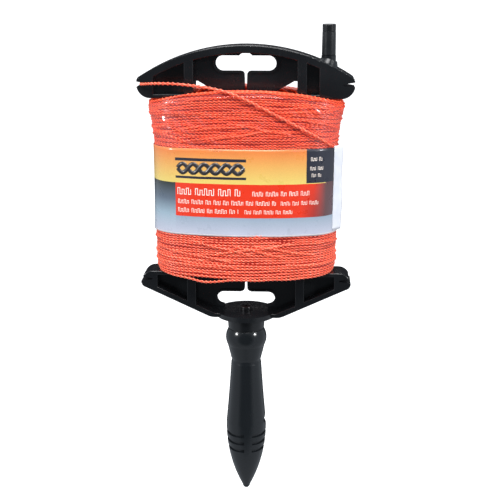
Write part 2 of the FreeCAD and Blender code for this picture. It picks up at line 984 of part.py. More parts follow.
def cut_grooves(s, body, bend):
    """Three finger grooves on each side, stopping short of the front and the back."""
    for side, name in ((1, "right"), (-1, "left")):
        sketch = new_sketch(body, "grooves_" + name, FRONT)
        for place in range(3):
            middle = s["groove_first"] - s["groove_pitch"] * place
            wall = ogive_radius(s, middle.value, bend)
            root = wall - s["groove_depth"].value
            outside = wall + s["groove_depth"].value
            draw(
                sketch,
                [
                    (side * root, middle - s["groove_root_half"]),
                    (side * outside, middle - s["groove_mouth_half"]),
                    (side * outside, middle + s["groove_mouth_half"]),
                    (side * root, middle + s["groove_root_half"]),
                ],
            )
        feature = body.newObject("PartDesign::Groove", "groove_cut_" + name)
        feature.Profile = sketch
        feature.ReferenceAxis = (sketch, ["V_Axis"])
        feature.Midplane = True
        bind(feature, "Angle", s["groove_sweep"])


def cut_cleat(s, body):
    """The notch in the grip's right side where the line can be jammed."""
    sketch = new_sketch(body, "cleat_outline", FRONT)
    draw(
        sketch,
        [
            (s["cleat_root_x"], s["cleat_root_z"] - s["cleat_root_half"]),
            (s["cleat_mouth_x"], s["cleat_mouth_foot"]),
            (s["cleat_mouth_x"], s["cleat_mouth_top"]),
            (s["cleat_root_x"], s["cleat_root_z"] + s["cleat_root_half"]),
        ],
    )
    pocket(body, "cleat", sketch, s["barrel_radius"] * 2)


def make_pivot_screw(s):
    """Pan-head screw that holds the reel on the handle, with a cross recess."""
    body = new_body("pivot_screw")
    head_foot = s["disc_top"] + s["end_play"]
    head = s["screw_head_radius"]
    bend = s["screw_head_round"]
    outline = new_sketch(body, "pivot_screw_outline", FRONT)
    draw(
        outline,
        [
            (0.0, s["screw_foot"]),
            (s["screw_radius"], s["screw_foot"] + s["screw_point"]),
            (s["screw_radius"], head_foot),
            (head, head_foot),
            (head, s["screw_head_top"] - bend),
            (head - bend, s["screw_head_top"], bend),
            (0.0, s["screw_head_top"]),
        ],
    )
    revolve(body, "pivot_screw_turned", outline)
    width = s["recess_width"]
    length = s["recess_half_length"] * 2
    foot = s["screw_head_top"] - s["recess_depth"]
    for name, across, along in (("x", length, width), ("y", width, length)):
        primitive(
            body,
            "SubtractiveBox",
            "recess_" + name,
            -(across / 2),
            -(along / 2),
            foot,
            Length=across,
            Width=along,
            Height=s["recess_depth"] + BEYOND,
        )
    return body


def make_pivot_bush(s):
    """Spacer tube on the screw, on which the collar turns."""
    body = new_body("pivot_bush")
    hole = s["screw_radius"] + s["assembly_gap"]
    outline = new_sketch(body, "pivot_bush_outline", FRONT)
    top = s["disc_top"] + s["end_play"]
    draw(
        outline,
        [
            (hole, s["bush_foot"]),
            (s["bush_radius"], s["bush_foot"]),
            (s["bush_radius"], top),
            (hole, top),
        ],
    )
    revolve(body, "pivot_bush_turned", outline)
    return body


def make_thrust_washer(s):
    """Thin washer between the collar and the handle's ball neck."""
    body = new_body("thrust_washer")
    hole = s["bush_radius"] + s["assembly_gap"]
    outline = new_sketch(body, "thrust_washer_outline", FRONT)
    top = s["handle_top"] + s["washer_thickness"]
    draw(
        outline,
        [
            (hole, s["handle_top"]),
            (s["washer_radius"], s["handle_top"]),
            (s["washer_radius"], top),
            (hole, top),
        ],
    )
    revolve(body, "thrust_washer_turned", outline)
    return body


def oval_steps(half_width, half_depth, front_radius):
    """A closed oval of four tangent arcs: two long ones in front and behind, two at the ends."""
    a = number(half_width)
    b = number(half_depth)
    big = number(front_radius)
    small = ((big - b) ** 2 + a * a - big * big) / (2 * (a - big))
    share = big / (big - small)
    x = (a - small) * share
    y = (b - big) + math.sqrt(big * big - x * x)
    return [
        (x, -y, big),
        (a, 0.0, small),
        (x, y, small),
        (0.0, b, big),
        (-x, y, big),
        (-a, 0.0, small),
        (-x, -y, small),
        (0.0, -b, big),
    ]


def make_line_winding(s):
    """The wound line as one closed ring round both posts, domed in front and behind."""
    body = new_body("line_winding")
    sections = []
    for place, (height, half_width) in enumerate(WINDING_WIDTHS):
        sketch = new_sketch(body, "winding_section_" + str(place), PLAN, height)
        steps = oval_steps(half_width, s["winding_front"], s["winding_front_radius"])
        draw(sketch, steps)
        sections.append(sketch)
    loft = body.newObject("PartDesign::AdditiveLoft", "winding_loft")
    loft.Profile = sections[0]
    loft.Sections = sections[1:]

    crown = new_sketch(body, "winding_crown_cut", FRONT)
    half = s["winding_crown_half"]
    rise = s["winding_crown"] - s["winding_shoulder"]
    bend = (half.value ** 2 + rise.value ** 2) / (2 * rise.value)
    above = s["winding_crown"] + BEYOND
    outside = s["plate_half_width"]
    draw(
        crown,
        [
            (-half, s["winding_shoulder"], bend),
            (-outside, s["winding_shoulder"]),
            (-outside, above),
            (outside, above),
            (outside, s["winding_shoulder"]),
            (half, s["winding_shoulder"]),
        ],
    )
    pocket(body, "winding_dome", crown)

    plate_room = new_sketch(body, "winding_plate_room", SIDE)
    clear = s["plate_half_depth"] + s["winding_clearance"]
    draw(
        plate_room,
        [
            (-clear, s["winding_shoulder"]),
            (clear, s["winding_shoulder"]),
            (clear, above),
            (-clear, above),
        ],
    )
    pocket(body, "winding_plate_cut", plate_room)

    core = new_sketch(body, "winding_core", PLAN, s["winding_foot"] - BEYOND)
    reach = s["post_inner"] + s["post_width"] + s["winding_core_gap"]
    depth = s["post_half_depth"] + s["winding_core_gap"]
    draw(core, [(-reach, -depth), (reach, -depth), (reach, depth), (-reach, depth)])
    hollow = body.newObject("PartDesign::Pocket", "winding_hollow")
    hollow.Profile = core
    hollow.Reversed = True
    bind(hollow, "Length", above - s["winding_foot"] + BEYOND * 2)
    return body


def make_label_band(s):
    """The printed band, one closed ring round the winding."""
    body = new_body("label_band")
    sketch = new_sketch(body, "label_section", PLAN, s["label_foot"])
    for grow in (number(s["label_gap"]), number(s["label_gap"] + s["label_thickness"])):
        draw(
            sketch,
            oval_steps(
                s["label_half_width"].value + grow,
                s["winding_front"].value + grow,
                s["winding_front_radius"].value + grow,
            ),
        )
    pad_up(body, "label_wrap", sketch, s["label_top"] - s["label_foot"])
    return body


def rounded_path(points, name):
    """Straight runs joined by tangent arcs as large as the runs allow. Returns the wire."""
    places = [Vector(*p) for p in points]
    edges = []
    start = places[0]
    radii = []
    for before, corner, after in zip(places, places[1:], places[2:]):
        run_in = corner - before
        run_out = after - corner
        turn = run_in.getAngle(run_out)
        shorter = min(run_in.Length, run_out.Length)
        trim = ARC_SHARE * shorter
        radius = trim / math.tan(turn / 2)
        radii.append(radius)
        into = Vector(run_in).normalize()
        out = Vector(run_out).normalize()
        arc_start = corner - into * trim
        arc_end = corner + out * trim
        bisector = (out - into).normalize()
        centre = corner + bisector * (radius / math.cos(turn / 2))
        arc_middle = centre - bisector * radius
        edges.append(Part.LineSegment(start, arc_start).toShape())
        edges.append(Part.Arc(arc_start, arc_middle, arc_end).toShape())
        start = arc_end
    edges.append(Part.LineSegment(start, places[-1]).toShape())
    print(name, "bend radii", [round(r, 1) for r in radii])
    return Part.Wire(edges)


def make_line_end(s):
    """The free end of the line as a plain tube along its route."""
    radius = s["line_diameter"].value / 2
    path = rounded_path(LINE_END_ROUTE, "line_end")
    start = Vector(*LINE_END_ROUTE[0])
    heading = Vector(*LINE_END_ROUTE[1]) - start
    ring = Part.Wire([Part.Circle(start, heading, radius).toShape()])
    tube = path.makePipeShell([ring], True, True)
    feature = doc.addObject("Part::Feature", "line_end")
    feature.Label = "line_end"
    feature.Shape = tube
    expected = math.pi * radius * radius * path.Length
    print("line_end length", round(path.Length, 1), "volume ratio", tube.Volume / expected)
    return feature


def check(parts):
    """Stops if anything in the document failed or a sub-part isn't one valid shape."""
    for item in doc.Objects:
        if "Invalid" in item.State or "Error" in item.State:
            raise RuntimeError(item.Label + " failed: " + str(item.State))
    for part in parts:
        shape = part.Shape
        if shape.isNull() or not shape.isValid() or shape.Volume <= 0:
            raise RuntimeError(part.Label + " has no valid shape")


def main():
    s = fill_sheet()
    parts = [
        make_top_plate(s),
        make_bottom_plate(s),
        make_post(s, "left_post", -1),
        make_post(s, "right_post", 1),
        make_crank_pin(s),
        make_crank_sleeve(s),
        make_handle(s),
        make_pivot_screw(s),
        make_pivot_bush(s),
        make_thrust_washer(s),
        make_line_winding(s),
        make_label_band(s),
        make_line_end(s),
    ]
    doc.recompute()
    check(parts)
    os.makedirs("parts", exist_ok=True)
    for part in parts:
        part.Shape.exportStep("parts/" + part.Label + ".step")
        print(part.Label, "volume", round(part.Shape.Volume, 1), "solids", len(part.Shape.Solids))


main()
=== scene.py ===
"""Looks of the mason's line reel: braided line, printed band, black mouldings and studio."""

import math

import bpy
import numpy as np
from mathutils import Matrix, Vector


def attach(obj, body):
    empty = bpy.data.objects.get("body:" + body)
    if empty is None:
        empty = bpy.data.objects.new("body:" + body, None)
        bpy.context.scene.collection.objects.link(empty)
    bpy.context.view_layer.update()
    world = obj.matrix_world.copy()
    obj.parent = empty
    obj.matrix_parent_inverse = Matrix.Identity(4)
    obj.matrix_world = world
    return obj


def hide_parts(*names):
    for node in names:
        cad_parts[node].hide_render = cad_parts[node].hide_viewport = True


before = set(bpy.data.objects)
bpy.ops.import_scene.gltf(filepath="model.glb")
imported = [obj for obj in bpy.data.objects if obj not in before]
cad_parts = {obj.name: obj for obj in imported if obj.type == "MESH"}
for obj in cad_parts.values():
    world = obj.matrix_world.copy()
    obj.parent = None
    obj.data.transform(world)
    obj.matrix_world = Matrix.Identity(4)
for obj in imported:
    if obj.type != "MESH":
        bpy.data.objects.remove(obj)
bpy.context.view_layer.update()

MM = 0.001
SEED = 31

# Camera: it looks at the front of the reel from a little above and to the right. Metres, degrees.
FOCAL_LENGTH_MM = 75.6
SENSOR_MM = 36.0
CAMERA_DISTANCE = 0.629
CAMERA_PITCH = 14.6
CAMERA_AZIMUTH = 3.0
CAMERA_AIM = (0.0023, 0.0, 0.1559)

# The line: braided nylon, in millimetres.
LINE_RADIUS = 0.75
LINE_PITCH = 1.5
BRAID_SIDES = 8
BRAID_REPEAT = 2.6
BRAID_STEPS = 4
BRAID_HEIGHT = 0.36
THINNEST_END = 0.05
# Quads that close one end of a strand's eight-sided tube.
END_CAP = np.array([[0, 1, 2, 3], [0, 3, 4, 7], [4, 5, 6, 7]])

# The winding, in millimetres: half widths by height, its oval plan, its arched top, the room that
# it leaves under the top plate, and its rows.
WIDTH_HEIGHTS = (144.7, 148.5, 166.0, 222.0, 233.0, 242.0, 253.6)
HALF_WIDTHS = (51.8, 53.4, 53.8, 53.8, 55.0, 56.8, 56.0)
HALF_DEPTH = 26.3
FRONT_RADIUS = 125.0
WINDING_FOOT = 144.7
CROWN_TOP = 252.6
CROWN_END = 246.7
CROWN_HALF = 52.0
CROWN_DEEPEST = 1.4
PLATE_ROOM_TOP = 246.0
PLATE_ROOM_HALF = 9.6
PLATE_EASE = 2.5
DEEPEST_INSET = 16.5
INNER_ROWS = int((DEEPEST_INSET - LINE_RADIUS) / LINE_PITCH)
UPPER_ROWS = 23
INSIDE_ROWS = 22
BEHIND_BAND_ROWS = 12
BEHIND_BAND_MARGIN = 2
CORE_STEPS = 220

# How the turns waver: waves round the winding, and how alike neighbouring turns are.
WAVES_ROUND = 18
NEIGHBOURS = 5
DRIFT_ALIKE = 0.4
PRESS_ALIKE = 0.2

# The lowest rows hang in a belly, and the lowest turn has a loose loop at the front. Millimetres.
BELLY_ROWS = 6
BELLY_HALF = 50.0
LOOSE_FROM, LOOSE_TO = -40.0, -5.0
LOOSE_SAG = 1.9
LOOSE_FORWARD = 0.25

# Turns that cross the lay: share of the way round, then millimetres up, under and out of the lay.
CROSSING_SHARE = (0.10, 0.26)
CROSSING_CLIMB = 8
CROSSING_UNDER = -1.3
CROSSING_LIFT = 1.75
CROSSING_DIVE_RATE = 7
CROSSING_TAPER_RATE = 60
CROSSING_WAVER = 0.25
CROSSING_WAVES = 11
CROSSING_LEAST_STEPS = 24
WAY_ROUND = 270

# The printed band, in millimetres. Places on it are lengths along it from the front's middle.
BAND_HALF_WIDTH = 54.45
BAND_HALF_DEPTH = 26.65
BAND_FOOT = 170.2
BAND_TOP = 220.5
BAND_THICKNESS = 0.12
BAND_SINK = 0.26
BAND_CELL = 1.6

# The emblem on the band: two twisted strands.
EMBLEM_FROM, EMBLEM_TO = -38.6, 0.2
EMBLEM_STEPS = 240
EMBLEM_MIDDLE = 209.1
EMBLEM_SWING = 2.55
EMBLEM_WAVE = 12.9
EMBLEM_HALF_STROKE = 1.15
EMBLEM_LIFT = 0.03
EMBLEM_THICKNESS = 0.05

# The band's loose end: where it starts, how far it runs, and how it lifts and ripples.
FLAP_START = 55.0
FLAP_RUN = 7.0
FLAP_GRID = (30, 14)
FLAP_LIFT = 2.4
FLAP_CURL = 1.8
FLAP_RIPPLE = 0.25

# The clear film above the band: its rim is sunk into the turns and its middle stands proud of them.
FILM_TOP = 244.6
FILM_LAP = 1.5
FILM_THICKNESS = 0.05
FILM_CREASE = 0.3
FILM_CREASE_WAVES = 14
FILM_PROUD = 0.25
FILM_SWELL = 1.3
FILM_SWELL_POWER = 0.7
FILM_RIM_SINK = 0.45
FILM_GRID = (40, 260)

# Free end of the line: control points of its smooth route, in metres.
LINE_END_ROUTE = (
    (0.0506, -0.0130, 0.2203), (0.0433, -0.0206, 0.2261), (0.0316, -0.0238, 0.2327),
    (0.0176, -0.0262, 0.2402), (0.0034, -0.0276, 0.2476), (-0.0096, -0.0274, 0.2533),
    (-0.0246, -0.0214, 0.2552), (-0.0394, -0.0158, 0.2561), (-0.0526, -0.0122, 0.2558),
    (-0.0596, -0.0104, 0.2551), (-0.0603, -0.0027, 0.2550), (-0.0602, 0.0049, 0.2551),
    (-0.0598, 0.0116, 0.2550), (-0.0550, 0.0143, 0.2519), (-0.0486, 0.0177, 0.2468),
    (-0.0418, 0.0210, 0.2402), (-0.0370, 0.0225, 0.2320),
)
LINE_END_TONE = 0.6
LINE_END_FACING = (0.0, -1.0, 0.3)
ROUTE_RESOLUTION = 18

# The studio: a white bowl and lights aimed at the middle of the reel, in metres.
BOWL_BOTTOM = -0.35
BOWL_FLAT_RADIUS = 1.1
BOWL_CURVE_RADIUS = 1.1
BOWL_CURVE_STEPS = 10
BOWL_WALL_TOP = 3.4
BOWL_SIDES = 48
LIGHT_AIM = (0, 0, 0.17)
# Brightness of the tent from the front, -1, over the sides, 0, to the back, 1.
TENT = (
    (-0.86, (0.10, 0.115, 0.13)), (-0.62, (0.47, 0.51, 0.56)),
    (0.62, (0.47, 0.51, 0.56)), (0.88, (0.03, 0.03, 0.035)),
)


def srgb(red, green, blue):
    """A display colour, 0 to 255 and well above black, as the linear colour that shaders take."""
    return tuple(((c / 255 + 0.055) / 1.055) ** 2.4 for c in (red, green, blue))


# ---------------------------------------------------------------- camera and cord route

def make_camera():
    """The camera, turned and raised about the middle of the reel."""
    data = bpy.data.cameras.new("camera")
    data.lens = FOCAL_LENGTH_MM
    data.sensor_width = SENSOR_MM
    camera = bpy.data.objects.new("camera", data)
    pitch, azimuth = math.radians(CAMERA_PITCH), math.radians(CAMERA_AZIMUTH)
    level = math.cos(pitch)
    away = Vector((level * math.sin(azimuth), -level * math.cos(azimuth), math.sin(pitch)))
    camera.location = Vector(CAMERA_AIM) + away * CAMERA_DISTANCE
    camera.rotation_euler = (math.pi / 2 - pitch, 0, azimuth)
    bpy.context.scene.collection.objects.link(camera)
    bpy.context.scene.camera = camera


def smooth_route(points):
    """Points along the smooth curve that has the given control points."""
    curve = bpy.data.curves.new("route", "CURVE")
    curve.dimensions = "3D"
    spline = curve.splines.new("NURBS")
    spline.points.add(len(points) - 1)
    for point, place in zip(spline.points, points):
        point.co = (*place, 1)
    spline.order_u = 3
    spline.use_endpoint_u = True
    curve.resolution_u = ROUTE_RESOLUTION
    holder = bpy.data.objects.new("route", curve)
    bpy.context.scene.collection.objects.link(holder)
    mesh = bpy.data.meshes.new_from_object(holder)
    places = [tuple(v.co) for v in mesh.vertices]
    bpy.data.objects.remove(holder)
    return places


# ---------------------------------------------------------------- mesh building

class Builder:
    """Collects vertices, quads and point attributes, in millimetres, and makes one mesh of them."""

    def __init__(self):
        self.places, self.quads, self.bead, self.tone = [], [], [], []
        self.count = 0

    def add(self, places, quads, bead=0.0, tone=0.0):
        self.places.append(places)
        self.quads.append(quads + self.count)
        self.bead.append(np.broadcast_to(bead, len(places)))
        self.tone.append(np.broadcast_to(tone, len(places)))
        self.count += len(places)

    def piece(self, name, material, slot):
        places, quads = np.concatenate(self.places) * MM, np.concatenate(self.quads)
        obj = mesh_piece(name, places, quads, material)
        for label, values in (("bead", self.bead), ("tone", self.tone)):
            layer = obj.data.attributes.new(label, "FLOAT", "POINT")
            layer.data.foreach_set("value", np.concatenate(values).astype(np.float32))
        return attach(obj, "reel")


def mesh_piece(name, places, quads, material):
    """A smooth object of quads, with its places in metres."""
    mesh = bpy.data.meshes.new(name)
    mesh.vertices.add(len(places))
    mesh.vertices.foreach_set("co", np.ascontiguousarray(places, np.float32).ravel())
    mesh.loops.add(quads.size)
    mesh.loops.foreach_set("vertex_index", quads.ravel().astype(np.int32))
    mesh.polygons.add(len(quads))
    mesh.polygons.foreach_set("loop_start", np.arange(0, quads.size, 4, dtype=np.int32))
    mesh.polygons.foreach_set("use_smooth", np.ones(len(quads), bool))
    mesh.update(calc_edges=True)
    mesh.materials.append(material)
    obj = bpy.data.objects.new(name, mesh)
    bpy.context.scene.collection.objects.link(obj)
    return obj


def grid_quads(rows, columns, close_rows, close_columns):
    """Quads of a grid of points whose rows and columns may each close on themselves."""
    row = np.arange(rows if close_rows else rows - 1)[:, None]
    column = np.arange(columns if close_columns else columns - 1)[None, :]
    next_row, next_column = (row + 1) % rows, (column + 1) % columns
    corners = (row * columns + column, row * columns + next_column,
               next_row * columns + next_column, next_row * columns + column)
    return np.stack(np.broadcast_arrays(*corners), -1).reshape(-1, 4)


def wrap_quads(rows, columns):
    """Quads of a thin sheet that closes round the winding: outside, inside, foot and top edges."""
    outside = grid_quads(rows, columns, False, True)
    inner, top = rows * columns, (rows - 1) * columns
    foot = np.arange(columns)
    after = (foot + 1) % columns
    foot_edge = np.stack([foot, inner + foot, inner + after, after], 1)
    top_edge = np.stack([top + foot, top + after, inner + top + after, inner + top + foot], 1)
    return np.concatenate([outside, outside[:, ::-1] + inner, foot_edge, top_edge])


def unit(vectors):
    return vectors / np.linalg.norm(vectors, axis=-1, keepdims=True)


def braid(builder, path, outward, closed, tone, roll=0.0, radius=LINE_RADIUS, ends=None):
    """Adds one braided strand along a path: yarns that cross as alternating beads."""
    if closed:
        tangent = unit(np.roll(path, -1, 0) - np.roll(path, 1, 0))
    else:
        tangent = unit(np.gradient(path, axis=0))
    side = unit(outward - tangent * np.sum(outward * tangent, 1, keepdims=True))
    across = np.cross(tangent, side)
    angle = np.arange(BRAID_SIDES) * 2 * math.pi / BRAID_SIDES
    step = np.arange(len(path)) * 2 * math.pi / BRAID_STEPS
    bead = np.cos(2 * angle[None, :] + roll) * np.cos(step[:, None] + roll)
    size = radius - BRAID_HEIGHT / 2 + BRAID_HEIGHT * bead
    if ends is not None:
        size = size * ends[:, None]
    cosine, sine = np.cos(angle)[None, :, None], np.sin(angle)[None, :, None]
    ring = side[:, None, :] * cosine + across[:, None, :] * sine
    places = path[:, None, :] + ring * size[:, :, None]
    quads = grid_quads(len(path), BRAID_SIDES, closed, True)
    if not closed:
        last = (len(path) - 1) * BRAID_SIDES
        quads = np.concatenate([quads, END_CAP[:, ::-1], END_CAP + last])
    builder.add(places.reshape(-1, 3), quads, bead.ravel(), tone)


def steps_round(length):
    """Number of steps round a closed strand, a whole number of braid repeats."""
    return BRAID_STEPS * round(length / BRAID_REPEAT)


# ---------------------------------------------------------------- the winding's shape

def oval(along, half_width, half_depth, front_radius=FRONT_RADIUS):
    """Points, outward normals and girth of an oval of four arcs, at lengths along it from the
    front's middle towards +X."""
    end_radius = (front_radius - half_depth) ** 2 + half_width ** 2 - front_radius ** 2
    end_radius /= 2 * (half_width - front_radius)
    turn = math.asin((half_width - end_radius) / (front_radius - end_radius))
    front_length = front_radius * turn
    quarter = front_length + end_radius * (math.pi / 2 - turn)
    lap = np.mod(along, 4 * quarter)
    folded = quarter - np.abs(np.mod(lap, 2 * quarter) - quarter)
    on_front = folded < front_length
    angle = np.where(on_front, folded / front_radius, turn + (folded - front_length) / end_radius)
    sine, cosine = np.sin(angle), np.cos(angle)
    x = np.where(on_front, front_radius * sine, half_width - end_radius + end_radius * sine)
    y = np.where(on_front, front_radius - half_depth - front_radius * cosine, -end_radius * cosine)
    right = np.where(lap > 2 * quarter, -1, 1)
    back = np.where((lap > quarter) & (lap < 3 * quarter), -1, 1)
    return x * right, y * back, sine * right, -cosine * back, 4 * quarter


def inset_oval(share, height, inset):
    """The winding's plan at a height, moved inwards, at shares of the way round."""
    half_width = float(np.interp(height, WIDTH_HEIGHTS, HALF_WIDTHS)) - inset
    half_depth = HALF_DEPTH - inset
    front_radius = FRONT_RADIUS - inset
    length = oval(np.zeros(1), half_width, half_depth, front_radius)[4]
    return oval(np.asarray(share) * length, half_width, half_depth, front_radius)


def crown(x):
    """Height of the winding's arched top."""
    return CROWN_TOP - (CROWN_TOP - CROWN_END) * np.minimum(CROWN_DEEPEST, (x / CROWN_HALF) ** 2)


def under_plate(y):
    """1 where the top plate stands over the winding, falling smoothly to 0 clear of it."""
    share = np.clip((PLATE_ROOM_HALF + PLATE_EASE - np.abs(y)) / PLATE_EASE, 0, 1)
    return share * share * (3 - 2 * share)


# A level stands for one turn of line. On the sides and underneath it is ("side", height at its
# ends, share of the crown's arch, inset). On top and inside it is ("top", height of its plan, depth
# under the crown, inset).

def lay_height(level, x, y):
    """Height of a turn's centre."""
    kind, end_height, arch = level[:3]
    if kind == "side":
        return end_height + arch * (crown(x) - CROWN_END)
    top = crown(x) - LINE_RADIUS
    limit = PLATE_ROOM_TOP - LINE_RADIUS
    return top + (np.minimum(top, limit) - top) * under_plate(y) - arch


def lower_levels():
    """Turns from the winding's underside up to just under the band."""
    count = int((BAND_FOOT - WINDING_FOOT) / LINE_PITCH) + 1
    heights = [WINDING_FOOT + LINE_RADIUS + row * LINE_PITCH for row in range(count)]
    return [("side", height, 0.0, LINE_RADIUS) for height in heights]


def upper_levels():
    """Turns from just under the band's top edge to the crown; they fan out to follow its arch."""
    low, high = BAND_TOP - LINE_RADIUS, CROWN_END - LINE_RADIUS
    shares = np.arange(UPPER_ROWS) / (UPPER_ROWS - 1)
    return [("side", low + (high - low) * share, share, LINE_RADIUS) for share in shares]


def inner_insets():
    """Insets of the turns that lie side by side from the outer turn inwards."""
    return [LINE_RADIUS + (row + 1) * LINE_PITCH for row in range(INNER_ROWS)]


def underside_levels():
    """Turns across the underside, from the inner wall outwards."""
    return [("side", WINDING_FOOT + LINE_RADIUS, 0.0, inset) for inset in reversed(inner_insets())]


def top_levels():
    """Turns across the top, from the outside inwards."""
    return [("top", CROWN_END, 0.0, inset) for inset in inner_insets()]


def inside_levels():
    """Turns down the winding's inner wall, as deep as they show from above."""
    innermost = inner_insets()[-1]
    return [("top", CROWN_END, (row + 1) * LINE_PITCH, innermost) for row in range(INSIDE_ROWS)]


def strand_path(level, share):
    """Centre line and outward directions of one turn."""
    _, end_height, _, inset = level
    x, y, normal_x, normal_y, _ = inset_oval(share, end_height, inset)
    path = np.stack([x, y, lay_height(level, x, y)], 1)
    return path, np.stack([normal_x, normal_y, np.zeros_like(x)], 1)


def wander(random, rows, harmonics, alike):
    """Wavering of each turn, like its neighbours' by the given share, as a function of the row and
    the share of the way round."""
    own = random.normal(size=(rows, harmonics, 2))
    shared = random.normal(size=(rows + NEIGHBOURS - 1, harmonics, 2))
    shared = sum(shared[shift:shift + rows] for shift in range(NEIGHBOURS)) / math.sqrt(NEIGHBOURS)
    weights = alike * shared + (1 - alike) * own
    fall = np.arange(1, harmonics + 1) ** -0.5

    def at(row, share):
        turns = 2 * math.pi * np.arange(1, harmonics + 1)[:, None] * share[None, :]
        waves = weights[row, :, :1] * np.cos(turns) + weights[row, :, 1:] * np.sin(turns)
        return (waves * fall[:, None]).sum(0) / math.sqrt(harmonics)

    return at


def wind(name, levels, material, seed, waver, dent, belly=0.0):
    """One piece of the winding: a braided turn at each level. With a belly, the lowest rows hang
    down a little."""
    random = np.random.default_rng(seed)
    builder = Builder()
    drift = wander(random, len(levels), WAVES_ROUND, DRIFT_ALIKE)
    press = wander(random, len(levels), WAVES_ROUND, PRESS_ALIKE)
    for row, level in enumerate(levels):
        length = inset_oval(0, level[1], level[3])[4]
        share = np.arange(steps_round(length)) / steps_round(length)
        path, outward = strand_path(level, share)
        rise = drift(row, share) * waver
        depth = np.abs(press(row, share)) * dent
        if level[0] == "side" and level[3] == LINE_RADIUS:
            path[:, 2] += rise
            path -= outward * depth[:, None]
        else:
            path -= outward * rise[:, None]
            path[:, 2] += depth if level[0] == "side" else -depth
        if belly:
            middle = np.clip(1 - (path[:, 0] / BELLY_HALF) ** 2, 0, 1)
            path[:, 2] -= belly * max(0, 1 - row / BELLY_ROWS) * middle
            if row == 0:
                path += loose_loop(path)
        tone = float(random.normal())
        braid(builder, path, outward, True, tone, roll=math.pi / 2 * random.integers(4))
    return builder.piece(name, material, "nylon_line")


def loose_loop(path):
    """The lowest turn hangs loose at the front, left of the middle."""
    share = np.clip((path[:, 0] - LOOSE_FROM) / (LOOSE_TO - LOOSE_FROM), 0, 1)
    sag = LOOSE_SAG * np.sin(math.pi * share) ** 2 * (path[:, 1] < 0)
    return np.stack([np.zeros_like(sag), -LOOSE_FORWARD * sag, -sag], 1)


def crossing_strands(name, material, seed, count, lowest, highest):
    """Turns between two heights that cross the lay at a slant and dive under it at both ends."""
    random = np.random.default_rng(seed)
    builder = Builder()
    for number in range(count):
        start = (number + random.uniform(0, 1)) / count
        end = start + random.uniform(*CROSSING_SHARE)
        low, high = random.uniform(lowest, highest, 2)
        high = low + np.clip(high - low, -CROSSING_CLIMB, CROSSING_CLIMB)
        steps = int((end - start) * WAY_ROUND / BRAID_REPEAT * BRAID_STEPS)
        run = np.linspace(0, 1, max(CROSSING_LEAST_STEPS, steps))
        from_end = np.minimum(run, 1 - run)
        share = start + (end - start) * run
        height = low + (high - low) * run
        middle = (low + high) / 2
        out = np.clip(from_end * CROSSING_DIVE_RATE, 0, 1)
        proud = CROSSING_UNDER + CROSSING_LIFT * out * out * (3 - 2 * out)
        x, y, normal_x, normal_y, _ = inset_oval(share, middle, LINE_RADIUS)
        outward = np.stack([normal_x, normal_y, np.zeros_like(x)], 1)
        widening = (np.interp(height, WIDTH_HEIGHTS, HALF_WIDTHS)
                    - np.interp(middle, WIDTH_HEIGHTS, HALF_WIDTHS))
        out_by = proud + widening * np.abs(normal_x)
        path = np.stack([x, y, height], 1) + outward * out_by[:, None]
        path[:, 2] += CROSSING_WAVER * np.sin(run * CROSSING_WAVES + random.uniform(0, 6))
        ends = np.clip(from_end * CROSSING_TAPER_RATE, THINNEST_END, 1)
        braid(builder, path, outward, False, float(random.normal()), ends=ends)
    return builder.piece(name, material, "nylon_line")


def packed_core(material):
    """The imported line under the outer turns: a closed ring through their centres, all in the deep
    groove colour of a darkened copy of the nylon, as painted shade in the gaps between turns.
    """
    heights = np.linspace(BAND_FOOT + BEHIND_BAND_MARGIN, BAND_TOP - BEHIND_BAND_MARGIN,
                          BEHIND_BAND_ROWS)
    behind_band = [("side", height, 0.0, LINE_RADIUS) for height in heights]
    levels = underside_levels() + lower_levels() + behind_band + upper_levels() + top_levels()
    share = np.arange(CORE_STEPS) / CORE_STEPS
    places = np.concatenate([strand_path(level, share)[0] for level in levels])
    builder = Builder()
    # A bead of -1 gives the whole ring the painted groove shade.
    builder.add(places, grid_quads(len(levels), CORE_STEPS, True, True), bead=-1.0)
    return builder.piece("packed_line", material, "nylon_line")


def make_line_end(material):
    """The free end of the line, on its smooth route."""
    route = smooth_route(LINE_END_ROUTE)
    path = np.array(route) / MM
    tangent = unit(np.gradient(path, axis=0))
    outward = np.cross(tangent, np.cross(np.array(LINE_END_FACING), tangent))
    step = np.arange(len(path))
    # Both tips round off over their last two or three steps.
    ends = np.clip(np.minimum(step + 0.2, len(path) - 0.8 - step) * 0.45, THINNEST_END, 1)
    builder = Builder()
    braid(builder, path, outward, False, LINE_END_TONE, radius=LINE_RADIUS + BRAID_HEIGHT / 4,
          ends=np.sqrt(ends))
    piece = builder.piece("line_end_braid", material, "nylon_line")
    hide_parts("line_end")


# ---------------------------------------------------------------- the printed band

PAPER = srgb(235, 225, 228)
CHARCOAL = srgb(39, 41, 53)
RED = srgb(226, 55, 28)
# Red darkened as painted shade, for the band's right end.
RED_IN_SHADE = srgb(158, 52, 46)
RED_IN_DEEP_SHADE = srgb(96, 66, 68)
WHITE = srgb(250, 236, 226)
GOLD_TOP, GOLD_LOW = srgb(226, 122, 62), srgb(226, 203, 112)
SLATE, SKY, MIST = srgb(40, 46, 42), srgb(92, 106, 122), srgb(153, 175, 190)
SILVER, PALE_SILVER = srgb(149, 166, 183), srgb(191, 194, 210)


# Heights and lengths on the band where its printed fields meet.
RIM_TOP = 171.1
SILVER_TOP = 181.2
GOLD_FOOT = 200.6
CORNER_FOOT = 201.0
RED_START = -40.2
CORNER_END = 70.0
FAR_LEFT, FAR_RIGHT = -140, 140


def even(colour):
    return (colour,) * 4


def rising(low, high):
    return (low, low, high, high)


